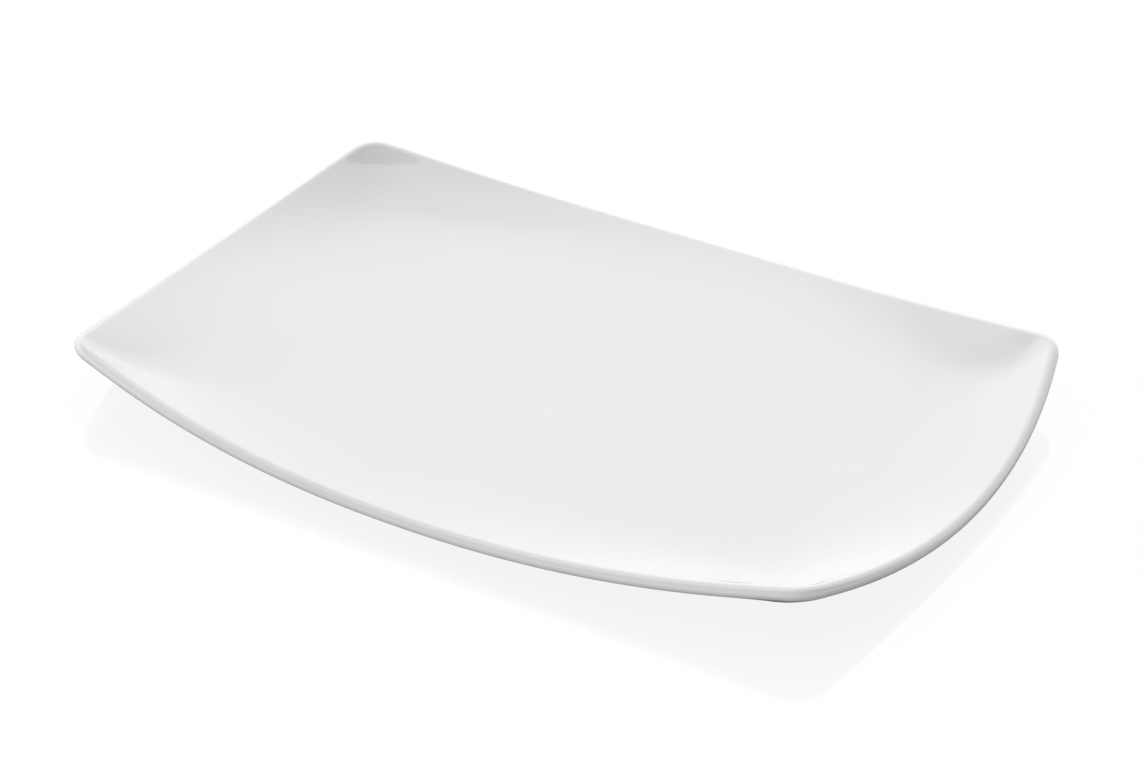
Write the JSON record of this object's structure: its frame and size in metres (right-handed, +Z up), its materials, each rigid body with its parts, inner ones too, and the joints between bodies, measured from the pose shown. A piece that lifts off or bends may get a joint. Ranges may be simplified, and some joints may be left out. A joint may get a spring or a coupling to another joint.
{
  "type": "rectangular plate",
  "caption": "Rectangular serving plate with bowed sides, raised corners, a round lip, a flat well and a low bare foot ring.",
  "frame": {"origin": "middle of the face that the foot ring stands on, under the centre of the plate", "axes": "+X along the long side, +Y along the short side, +Z up out of the well"},
  "size_m": [0.3, 0.2, 0.0204],
  "materials": {
    "glaze_face": "glossy transparent white glaze over white porcelain",
    "glaze_underside": "glossy white glaze, a little thinner and wavier than on the face",
    "fired_clay": "bare fired porcelain, matte and faintly grainy"
  },
  "bodies": {
    "root": {"biscuit_body": "fired_clay", "foot_ring": "fired_clay", "face_glaze": "glaze_face", "underside_glaze": "glaze_underside", "recess_glaze": "glaze_underside"}
  },
  "joints": []
}
